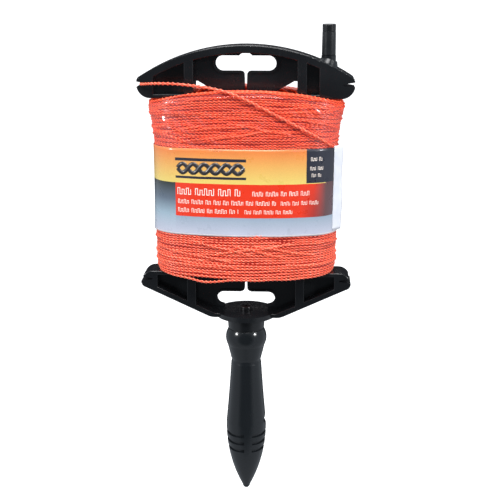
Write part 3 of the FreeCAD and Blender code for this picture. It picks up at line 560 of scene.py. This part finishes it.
# Each field is (from, to, low, high, colours at lower left, lower right, upper left, upper right).
# A later field covers an earlier one.
FIELDS = [
    (FAR_LEFT, FAR_RIGHT, BAND_FOOT, BAND_TOP, even(SILVER)),
    (FAR_LEFT, FAR_RIGHT, RIM_TOP, SILVER_TOP, rising(PALE_SILVER, SILVER)),
    (FAR_LEFT, FAR_RIGHT, SILVER_TOP, GOLD_FOOT, rising(MIST, SKY)),
    (FAR_LEFT, FAR_RIGHT, GOLD_FOOT, BAND_TOP, rising(GOLD_LOW, GOLD_TOP)),
    (FAR_LEFT, RED_START, RIM_TOP, 182.0, rising(PALE_SILVER, MIST)),
    (FAR_LEFT, RED_START, 182.0, 191.0, rising(MIST, SKY)),
    (FAR_LEFT, RED_START, 191.0, GOLD_FOOT, rising(SKY, SLATE)),
    (36.0, CORNER_END, CORNER_FOOT, BAND_TOP, even(CHARCOAL)),
    (RED_START, 33.0, SILVER_TOP, GOLD_FOOT, even(RED)),
    # Painted shade: towards the band's right end, where it turns round the winding's end, the red
    # darkens to red in shade and red in deep shade; the sky and charcoal it meets there are print.
    (33.0, 40.5, SILVER_TOP, GOLD_FOOT, (RED, RED_IN_SHADE, RED, RED)),
    (40.5, 48.5, SILVER_TOP, GOLD_FOOT, (RED_IN_SHADE, RED_IN_DEEP_SHADE, RED, RED_IN_DEEP_SHADE)),
    (48.5, CORNER_END, SILVER_TOP, CORNER_FOOT, (RED_IN_DEEP_SHADE, SKY, RED_IN_DEEP_SHADE, CHARCOAL)),
    (FAR_LEFT, FAR_RIGHT, BAND_FOOT, RIM_TOP, even(PAPER)),
    (-40.0, 1.5, 213.3, 215.0, even(CHARCOAL)),
    (-40.0, 1.5, 203.2, 204.6, even(CHARCOAL)),
]

# Rows of meander ornament where a printed band has its wording: from, to, foot, height.
MEANDER_ROWS = (
    (-38.9, -1.2, 193.8, 4.0), (5.0, 37.9, 194.0, 2.6),
    (-38.6, 18.2, 188.6, 2.5), (21.2, 45.0, 188.6, 2.2),
    (-38.7, -2.6, 183.6, 2.5), (0.6, 27.6, 183.6, 2.2),
    (38.6, 46.0, 213.6, 2.2), (38.2, 46.2, 208.4, 2.0), (39.2, 44.8, 204.4, 2.0),
)


def meander_fields(seed):
    """Thin upright strokes, joined in turn at head and foot, in groups along each row."""
    random = np.random.default_rng(seed)
    fields = []
    for start, end, foot, height in MEANDER_ROWS:
        stroke, gap = 0.08 * height + 0.10, 0.20 * height + 0.12
        place = start
        while place < end - gap:
            room = int((end - place) / (stroke + gap)) + 1
            strokes = min(int(random.integers(4, 10)), room)
            for number in range(strokes):
                high = foot + height * (1.0 if number % 4 < 2 else 0.8)
                edge = place + stroke
                fields.append((place, edge, foot, high, even(WHITE)))
                if number < strokes - 1:
                    level = high - stroke if number % 2 == 0 else foot
                    fields.append((edge, edge + gap, level, level + stroke, even(WHITE)))
                place += stroke + gap
            place += 1.6 * gap
    return fields


def band_surface(along, height, lift):
    """Places on the band: a slightly wavy sheet wrapped round the winding."""
    long_wave = 0.16 * np.sin(along * 0.13 + height * 0.06)
    short_wave = 0.1 * np.sin(along * 0.31 - height * 0.11 + 1.3)
    near_edge = np.clip((np.abs(height - (BAND_FOOT + BAND_TOP) / 2) - 20) / 5, 0, 1)
    edge_wave = 0.12 * near_edge * np.sin(along * 0.22)
    x, y, normal_x, normal_y, _ = oval(along, BAND_HALF_WIDTH, BAND_HALF_DEPTH)
    out = long_wave + short_wave - BAND_SINK + lift - edge_wave
    height = height + 0.2 * np.sin(along * 0.045 + 2)
    return np.stack([x + normal_x * out, y + normal_y * out, height], -1)


def cuts(values, low, high, widest):
    """Sorted break values between low and high, with long gaps divided evenly."""
    kept = sorted({round(v, 3) for v in values if low < v < high} | {low, high})
    filled = []
    for a, b in zip(kept, kept[1:]):
        filled += list(np.linspace(a, b, max(1, math.ceil((b - a) / widest)) + 1)[:-1])
    return np.array(filled + [high])


def field_colour(field, along, height):
    """A field's colour at places on the band, blended between its four corners."""
    start, end, low, high, (low_left, low_right, high_left, high_right) = field
    u = ((along - start) / (end - start))[..., None]
    v = ((height - low) / (high - low))[..., None]
    lower = np.array(low_left) * (1 - u) + np.array(low_right) * u
    upper = np.array(high_left) * (1 - u) + np.array(high_right) * u
    return lower * (1 - v) + upper * v


def make_band(print_material, back_material):
    """The wrapped printed band: a closed thin sheet whose print is a colour at each face corner."""
    fields = FIELDS + meander_fields(SEED)
    lap = oval(np.zeros(1), BAND_HALF_WIDTH, BAND_HALF_DEPTH)[4]
    wrapped = cuts([f[0] for f in fields] + [f[1] for f in fields], -lap / 2, lap / 2, BAND_CELL)
    height = cuts([f[2] for f in fields] + [f[3] for f in fields], BAND_FOOT, BAND_TOP, BAND_CELL)
    rows, columns = len(height), len(wrapped) - 1
    grid_along, grid_height = np.broadcast_arrays(wrapped[None, :-1], height[:, None])
    outside = band_surface(grid_along, grid_height, 0.0).reshape(-1, 3)
    inside = band_surface(grid_along, grid_height, -BAND_THICKNESS).reshape(-1, 3)
    quads = wrap_quads(rows, columns)
    places = np.concatenate([outside, inside]) * MM
    obj = mesh_piece("printed_band", places, quads, print_material)
    obj.data.materials.append(back_material)

    ink = np.tile(np.array(PAPER), (len(quads), 4, 1))
    column = np.tile(np.arange(columns), rows - 1)
    row = np.repeat(np.arange(rows - 1), columns)
    left, right = wrapped[column], wrapped[column + 1]
    corner_along = np.stack([left, right, right, left], 1)
    corner_height = np.stack([height[row], height[row], height[row + 1], height[row + 1]], 1)
    middle_along, middle_height = corner_along.mean(1), corner_height.mean(1)
    for field in fields:
        start, end, low, high = field[:4]
        chosen = np.flatnonzero((middle_along > start) & (middle_along < end)
                                & (middle_height > low) & (middle_height < high))
        ink[chosen] = field_colour(field, corner_along[chosen], corner_height[chosen])
    colours = np.concatenate([ink, np.ones((len(quads), 4, 1))], 2).astype(np.float32)
    layer = obj.data.color_attributes.new("ink", "FLOAT_COLOR", "CORNER")
    layer.data.foreach_set("color", colours.ravel())
    kinds = np.ones(len(quads), np.int32)
    kinds[:len(column)] = 0
    obj.data.polygons.foreach_set("material_index", kinds)
    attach(obj, "reel")
    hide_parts("label_band")


def ribbon(builder, along, height, half_width, lift, thickness):
    """A thin closed strip on the band, following a line on it."""
    slope = np.gradient(height) / np.gradient(along)
    scale = 1 / np.sqrt(1 + slope ** 2)
    sides = []
    for side in (-1, 1):
        edge_along = along - side * half_width * slope * scale
        edge_height = height + side * half_width * scale
        for level in (lift, lift + thickness):
            sides.append(band_surface(edge_along, edge_height, level))
    ring = np.stack([sides[0], sides[1], sides[3], sides[2]], 1)
    quads = grid_quads(len(along), 4, False, True)
    last = (len(along) - 1) * 4
    caps = np.array([[3, 2, 1, 0], [last, last + 1, last + 2, last + 3]])
    builder.add(ring.reshape(-1, 3), np.concatenate([quads, caps]))


def make_emblem(material):
    """A plain emblem for the band: two strands twisted round each other."""
    builder = Builder()
    along = np.linspace(EMBLEM_FROM, EMBLEM_TO, EMBLEM_STEPS)
    turn = 2 * math.pi * along / EMBLEM_WAVE
    for phase in (0, math.pi):
        height = EMBLEM_MIDDLE + EMBLEM_SWING * np.sin(turn + phase)
        lift = EMBLEM_LIFT + EMBLEM_LIFT * np.cos(turn + phase)
        ribbon(builder, along, height, EMBLEM_HALF_STROKE, lift, EMBLEM_THICKNESS)
    builder.piece("band_emblem", material, "label_film")


def make_flap(material):
    """The band's loose end, which stands away at the right."""
    rows, columns = FLAP_GRID
    height = np.linspace(BAND_FOOT + 1.2, BAND_TOP + 0.6, rows)[:, None]
    run = np.linspace(0, 1, columns)[None, :]
    along = FLAP_START + FLAP_RUN * run + 0 * height
    lift = 0.1 + FLAP_LIFT * run ** FLAP_CURL + FLAP_RIPPLE * np.sin(height * 0.21) * run
    height = height + 0 * run
    layers = [band_surface(along, height, lift + offset) for offset in (0, BAND_THICKNESS)]
    places = np.concatenate([layer.reshape(-1, 3) for layer in layers])
    front = grid_quads(rows, columns, False, False)
    size = rows * columns
    loop = np.concatenate([np.arange(columns), np.arange(1, rows) * columns + columns - 1,
                           size - 2 - np.arange(columns - 1), np.arange(rows - 2, 0, -1) * columns])
    after = np.roll(loop, -1)
    rim = np.stack([loop, after, after + size, loop + size], 1)
    builder = Builder()
    builder.add(places, np.concatenate([front[:, ::-1], front + size, rim]))
    builder.piece("band_end_flap", material, "label_film")


def make_clear_film(material):
    """Clear film shrunk over the winding above the band, with small creases."""
    random = np.random.default_rng(SEED + 6)
    rows, columns = FILM_GRID
    height = np.linspace(BAND_TOP - FILM_LAP, FILM_TOP, rows)
    share = np.arange(columns) / columns
    crease = np.zeros((rows, columns))
    for _ in range(FILM_CREASE_WAVES):
        turns, slope = random.integers(3, 44), random.uniform(0.4, 1.6)
        crease += np.sin(2 * math.pi * turns * share[None, :] + slope * height[:, None]
                         + random.uniform(0, 6.3))
    crease = crease / math.sqrt(FILM_CREASE_WAVES)
    layers = []
    for offset in (FILM_THICKNESS, 0.0):
        for row, level in enumerate(height):
            up = row / (rows - 1)
            x, y, normal_x, normal_y, _ = inset_oval(share, level, -FILM_PROUD - offset)
            full = FILM_CREASE * (FILM_SWELL + crease[row]) + FILM_RIM_SINK
            swell = math.sin(math.pi * row / (rows - 1)) ** FILM_SWELL_POWER
            out = full * swell - FILM_RIM_SINK
            arch = up * (crown(x) - CROWN_END)
            layers.append(np.stack([x + normal_x * out, y + normal_y * out, level + arch], 1))
    builder = Builder()
    builder.add(np.concatenate(layers), wrap_quads(rows, columns))
    builder.piece("clear_film", material, "label_film")


# ---------------------------------------------------------------- materials

class Nodes:
    """Short ways to build one material's node tree."""

    def __init__(self, name):
        self.material = bpy.data.materials.new(name)
        self.material.use_nodes = True
        self.tree = self.material.node_tree
        self.shader = self.tree.nodes["Principled BSDF"]

    def new(self, kind, **settings):
        node = self.tree.nodes.new(kind)
        for key, value in settings.items():
            setattr(node, key, value)
        return node

    def link(self, source, target):
        self.tree.links.new(source, target)

    def set(self, **values):
        for key, value in values.items():
            self.shader.inputs[key.replace("_", " ")].default_value = value

    def place(self):
        return self.new("ShaderNodeTexCoord").outputs["Object"]

    def noise(self, scale, detail=3.0, rough=0.55, stretch=None):
        node = self.new("ShaderNodeTexNoise")
        node.inputs["Scale"].default_value = scale
        node.inputs["Detail"].default_value = detail
        node.inputs["Roughness"].default_value = rough
        source = self.place()
        if stretch:
            mapping = self.new("ShaderNodeMapping")
            mapping.inputs["Scale"].default_value = stretch
            self.link(source, mapping.inputs["Vector"])
            source = mapping.outputs["Vector"]
        self.link(source, node.inputs["Vector"])
        return node.outputs["Fac"]

    def attribute(self, name, output="Fac"):
        return self.new("ShaderNodeAttribute", attribute_name=name).outputs[output]

    def ramp(self, value, stops):
        node = self.new("ShaderNodeValToRGB")
        elements = node.color_ramp.elements
        while len(elements) < len(stops):
            elements.new(0.5)
        for element, (position, colour) in zip(elements, stops):
            element.position = position
            element.color = (*colour, 1)
        self.link(value, node.inputs["Fac"])
        return node.outputs["Color"]

    def scale(self, value, low, high, from_low=0.0, from_high=1.0):
        node = self.new("ShaderNodeMapRange")
        ends = {"From Min": from_low, "From Max": from_high, "To Min": low, "To Max": high}
        for key, number in ends.items():
            node.inputs[key].default_value = number
        self.link(value, node.inputs["Value"])
        return node.outputs["Result"]

    def mix(self, share, first, second, blend="MIX"):
        """Colour mix: inputs 0, 6 and 7 are the share and two colours, and output 2 the result."""
        node = self.new("ShaderNodeMix", data_type="RGBA", blend_type=blend)
        for value, key in ((share, 0), (first, 6), (second, 7)):
            if hasattr(value, "links"):
                self.link(value, node.inputs[key])
            else:
                node.inputs[key].default_value = (*value, 1) if isinstance(value, tuple) else value
        return node.outputs[2]

    def colour(self, value):
        self.link(value, self.shader.inputs["Base Color"])

    def roughness(self, value):
        self.link(value, self.shader.inputs["Roughness"])

    def bump(self, value, strength, distance, before=None):
        node = self.new("ShaderNodeBump")
        node.inputs["Strength"].default_value = strength
        node.inputs["Distance"].default_value = distance
        self.link(value, node.inputs["Height"])
        if before is not None:
            self.link(before, node.inputs["Normal"])
        self.link(node.outputs["Normal"], self.shader.inputs["Normal"])
        return node.outputs["Normal"]


def moulded_plastic(name, dark, light, smooth, rough, streak=(1, 1, 1)):
    """Glossy moulded plastic: flow marks in the colour, uneven gloss, fine skin and rare scuffs."""
    n = Nodes(name)
    n.set(IOR=1.49)
    flow = n.noise(38, 4, 0.5, streak)
    n.colour(n.mix(n.scale(flow, 0, 1, 0.3, 0.7), dark, light))
    patches = n.noise(90, 3, 0.6)
    scuffs = n.noise(420, 2, 0.7, (1, 5, 0.25))
    gloss = n.scale(patches, smooth, rough, 0.3, 0.7)
    marks = n.scale(scuffs, 0.0, 0.16, 0.64, 0.76)
    total = n.new("ShaderNodeMath", operation="ADD")
    n.link(gloss, total.inputs[0])
    n.link(marks, total.inputs[1])
    n.roughness(total.outputs[0])
    skin = n.bump(n.noise(900, 2, 0.5), 0.05, 0.0001)
    n.bump(n.noise(60, 2, 0.4), 0.08, 0.0004, skin)
    return n.material


def braided_nylon(name, deep, body, bright, glow, haze):
    """Neon nylon: painted highlight on the yarn crowns and painted shade in the grooves between
    them, turns that differ a little, and a painted glow.
    """
    n = Nodes(name)
    n.set(IOR=1.5, Sheen_Weight=haze, Sheen_Roughness=0.35, Sheen_Tint=(1.0, 0.70, 0.62, 1))
    n.set(Coat_Weight=0.3, Coat_Roughness=0.2)
    # Painted glow: a weak emission that makes the line look lit from within.
    n.set(Emission_Color=(*glow, 1), Emission_Strength=0.16)
    bead = n.scale(n.attribute("bead"), 0, 1, -1, 1)
    # Painted light: low bead values between the yarn crowns take the deep colour as painted shade;
    # the crowns take the bright colour as painted highlight.
    painted_bead_light = n.ramp(bead, ((0.22, deep), (0.52, body), (0.85, bright)))
    tone = n.scale(n.attribute("tone"), 0.0, 1.0, -2.2, 2.2)
    shade = n.ramp(tone, ((0.0, (0.70, 0.62, 0.60)), (0.5, (1.0, 1.0, 1.0)),
                          (1.0, (1.0, 1.25, 1.3))))
    toned = n.mix(1.0, painted_bead_light, shade, "MULTIPLY")
    patchy = n.ramp(n.noise(240, 3, 0.6), ((0.30, (0.80, 0.72, 0.70)), (0.62, (1.0, 1.0, 1.0))))
    n.colour(n.mix(1.0, toned, patchy, "MULTIPLY"))
    n.roughness(n.scale(n.noise(700, 2), 0.32, 0.55))
    n.bump(n.noise(2600, 2, 0.6, (1, 1, 3)), 0.35, 0.00012)
    return n.material


def printed_film():
    """Glossy printed film: the ink's own colour, fine print grain, soft creases."""
    n = Nodes("printed_film")
    n.set(IOR=1.5, Coat_Weight=0.35, Coat_Roughness=0.12)
    grain = n.ramp(n.noise(1900, 1, 0.5), ((0.3, (0.93, 0.93, 0.93)), (0.7, (1.0, 1.0, 1.0))))
    n.colour(n.mix(1.0, n.attribute("ink", "Color"), grain, "MULTIPLY"))
    n.roughness(n.scale(n.noise(150, 3), 0.24, 0.42, 0.3, 0.7))
    n.bump(n.noise(70, 2, 0.5, (1, 1, 0.35)), 0.15, 0.0006)
    return n.material


def plain_film(name, low, high):
    """Glossy film or ink whose colour drifts a little between two tones."""
    n = Nodes(name)
    n.set(IOR=1.5, Coat_Weight=0.3, Coat_Roughness=0.15)
    n.colour(n.mix(n.noise(160, 3), low, high))
    n.roughness(n.scale(n.noise(220, 3), 0.2, 0.45))
    n.bump(n.noise(120, 2), 0.2, 0.0004)
    return n.material


def clear_film():
    """Clear glossy film that shows mostly by its glints."""
    n = Nodes("clear_film")
    n.set(Metallic=1.0, Alpha=0.045, Base_Color=(0.95, 0.97, 1.0, 1))
    n.roughness(n.scale(n.noise(300, 3), 0.08, 0.2))
    n.bump(n.noise(240, 2, 0.5), 0.2, 0.0004)
    return n.material


def turned_metal(name, dark, light, metallic, smooth, rough, rings):
    """Metal with fine turning marks across its axis."""
    n = Nodes(name)
    n.set(Metallic=metallic)
    marks = n.noise(rings, 3, 0.6, (0.08, 0.08, 1))
    n.colour(n.mix(n.scale(marks, 0, 1, 0.3, 0.7), dark, light))
    n.roughness(n.scale(n.noise(500, 3), smooth, rough, 0.3, 0.7))
    n.bump(marks, 0.2, 0.0001)
    return n.material


def dress(names, material):
    """Gives carried-over nodes their finish."""
    for name in names:
        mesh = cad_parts[name].data
        mesh.materials.clear()
        mesh.materials.append(material)


# ---------------------------------------------------------------- studio

def stage_material():
    """White that nearly glows, so that the ground stays even and plain."""
    n = Nodes("studio_white")
    n.colour(n.ramp(n.noise(3, 2), ((0.2, (0.55, 0.55, 0.55)), (0.8, (0.6, 0.6, 0.6)))))
    n.set(Roughness=0.9, Specular_IOR_Level=0.1)
    n.set(Emission_Color=(1, 1, 1, 1), Emission_Strength=0.97)
    return n.material


def make_stage():
    """A white bowl: a floor well below the stake point that curves up into a wall all round."""
    profile = [(0.001, 0.0), (0.6, 0.0), (BOWL_FLAT_RADIUS, 0.0)]
    for step in range(1, BOWL_CURVE_STEPS + 1):
        turn = step / BOWL_CURVE_STEPS * math.pi / 2
        profile.append((BOWL_FLAT_RADIUS + BOWL_CURVE_RADIUS * math.sin(turn),
                        BOWL_CURVE_RADIUS - BOWL_CURVE_RADIUS * math.cos(turn)))
    profile.append((BOWL_FLAT_RADIUS + BOWL_CURVE_RADIUS, BOWL_WALL_TOP))
    around = np.arange(BOWL_SIDES) / BOWL_SIDES * 2 * math.pi
    places = np.array([(radius * math.cos(angle), radius * math.sin(angle), rise + BOWL_BOTTOM)
                       for radius, rise in profile for angle in around])
    quads = grid_quads(len(profile), BOWL_SIDES, False, True)
    bowl = mesh_piece("studio_bowl", places, quads, stage_material())
    bowl.visible_glossy = False
    bowl.visible_diffuse = False
    bowl.visible_shadow = False
    bowl.visible_transmission = False


def soft_light(name, azimuth, elevation, distance, size, power):
    """An area light aimed at the reel, at an azimuth in degrees from the front."""
    a, e = math.radians(azimuth), math.radians(elevation)
    level = distance * math.cos(e)
    aim = Vector(LIGHT_AIM)
    data = bpy.data.lights.new(name, "AREA")
    data.shape = "RECTANGLE"
    data.size, data.size_y = size
    data.energy = power
    light = bpy.data.objects.new(name, data)
    away = Vector((level * math.sin(a), -level * math.cos(a), distance * math.sin(e)))
    light.location = aim + away
    light.rotation_euler = (-away).to_track_quat("-Z", "Y").to_euler()
    bpy.context.scene.collection.objects.link(light)


def make_lights():
    """Two flash heads, a soft overhead, a fill, and a tent that is dark in front and behind."""
    soft_light("flash_left", -60, 23, distance=1.0, size=(0.13, 0.13), power=6.0)
    soft_light("flash_right", 60, 23, distance=1.0, size=(0.13, 0.13), power=6.0)
    soft_light("overhead", 0, 58, distance=1.1, size=(0.7, 0.5), power=11.0)
    soft_light("back_fill", 180, 50, distance=1.2, size=(0.7, 0.5), power=7.0)
    world = bpy.data.worlds.new("world")
    world.use_nodes = True
    tree = world.node_tree
    background = tree.nodes["Background"]
    place = tree.nodes.new("ShaderNodeTexCoord")
    split = tree.nodes.new("ShaderNodeSeparateXYZ")
    share = tree.nodes.new("ShaderNodeMapRange")
    share.inputs["From Min"].default_value = -1
    tent = tree.nodes.new("ShaderNodeValToRGB")
    while len(tent.color_ramp.elements) < len(TENT):
        tent.color_ramp.elements.new(0.5)
    for element, (along, colour) in zip(tent.color_ramp.elements, TENT):
        element.position = (along + 1) / 2
        element.color = (*colour, 1)
    tree.links.new(place.outputs["Generated"], split.inputs["Vector"])
    tree.links.new(split.outputs["Y"], share.inputs["Value"])
    tree.links.new(share.outputs["Result"], tent.inputs["Fac"])
    tree.links.new(tent.outputs["Color"], background.inputs["Color"])
    bpy.context.scene.world = world
    bpy.context.scene.view_settings.view_transform = "Standard"


# ---------------------------------------------------------------- the whole

make_camera()

# For each nylon, deep is painted shade in the braid's grooves, bright is painted highlight on its
# crowns, and glow is a painted glow.
nylon = braided_nylon(
    "neon_nylon", deep=(0.30, 0.006, 0.002), body=(1.0, 0.070, 0.014), bright=(1.0, 0.20, 0.08),
    glow=(1.0, 0.045, 0.006), haze=0.1)
# Painted highlight: a paler, pinker copy of the nylon for the lower and underside turns, the lower
# crossing turns and the free end; its lighter colour stands in for the whitish haze of light seen
# on the lower turns, besides a stronger sheen.
pale_nylon = braided_nylon(
    "painted_haze_neon_nylon", deep=(0.40, 0.016, 0.009), body=(1.0, 0.11, 0.042), bright=(1.0, 0.31, 0.19),
    glow=(1.0, 0.075, 0.025), haze=0.3)
# Painted shade: a darkened copy of the nylon for the packed line, which shows only in the gaps
# between turns.
core_nylon = braided_nylon(
    "shaded_nylon", deep=(0.34, 0.008, 0.003), body=(0.4, 0.012, 0.004), bright=(0.5, 0.03, 0.01),
    glow=(0.2, 0.005, 0.002), haze=0.0)

make_line_end(pale_nylon)

for piece in (
    wind("winding_upper", upper_levels(), nylon, SEED, waver=0.75, dent=0.5),
    wind("winding_lower", lower_levels(), pale_nylon, SEED + 1, waver=0.5, dent=0.5, belly=1.3),
    wind("winding_top", top_levels(), nylon, SEED + 2, waver=0.25, dent=0.2),
    wind("winding_underside", underside_levels(), pale_nylon, SEED + 3, waver=0.2, dent=0.1),
    wind("winding_inside", inside_levels(), nylon, SEED + 7, waver=0.2, dent=0.3),
    packed_core(core_nylon),
    crossing_strands("crossing_turns_upper", nylon, SEED + 4, 30, lowest=222.5, highest=244.5),
    crossing_strands("crossing_turns_lower", pale_nylon, SEED + 5, 20, lowest=148.5, highest=167.5),
):
    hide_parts("line_winding")

back_paper = plain_film("band_back", low=(0.72, 0.73, 0.76), high=(0.85, 0.85, 0.86))
make_band(printed_film(), back_paper)
make_emblem(plain_film("emblem_ink", low=(0.020, 0.018, 0.022), high=(0.035, 0.03, 0.03)))
make_clear_film(clear_film())
make_flap(plain_film("flap_film", low=(0.62, 0.66, 0.74), high=(0.86, 0.86, 0.90)))

dress(("top_plate", "bottom_plate", "left_post", "right_post", "crank_pin"), moulded_plastic(
    "frame_plastic", dark=(0.0045, 0.005, 0.006), light=(0.008, 0.009, 0.0105),
    smooth=0.16, rough=0.28))
dress(("crank_sleeve",), moulded_plastic(
    "crank_plastic", dark=(0.007, 0.008, 0.009), light=(0.012, 0.013, 0.015),
    smooth=0.20, rough=0.32, streak=(1, 1, 3)))
dress(("handle",), moulded_plastic(
    "handle_plastic", dark=(0.006, 0.0075, 0.009), light=(0.010, 0.012, 0.0145),
    smooth=0.12, rough=0.22, streak=(1, 1, 0.3)))
dress(("pivot_screw",), turned_metal(
    "screw_steel", dark=(0.02, 0.02, 0.022), light=(0.06, 0.06, 0.065),
    metallic=0.85, smooth=0.28, rough=0.45, rings=900))
dress(("pivot_bush",), turned_metal(
    "bush_steel", dark=(0.42, 0.42, 0.44), light=(0.62, 0.62, 0.64),
    metallic=1.0, smooth=0.22, rough=0.38, rings=1400))
dress(("thrust_washer",), moulded_plastic(
    "washer_plastic", dark=(0.015, 0.015, 0.016), light=(0.03, 0.03, 0.03),
    smooth=0.40, rough=0.55))

make_stage()
make_lights()
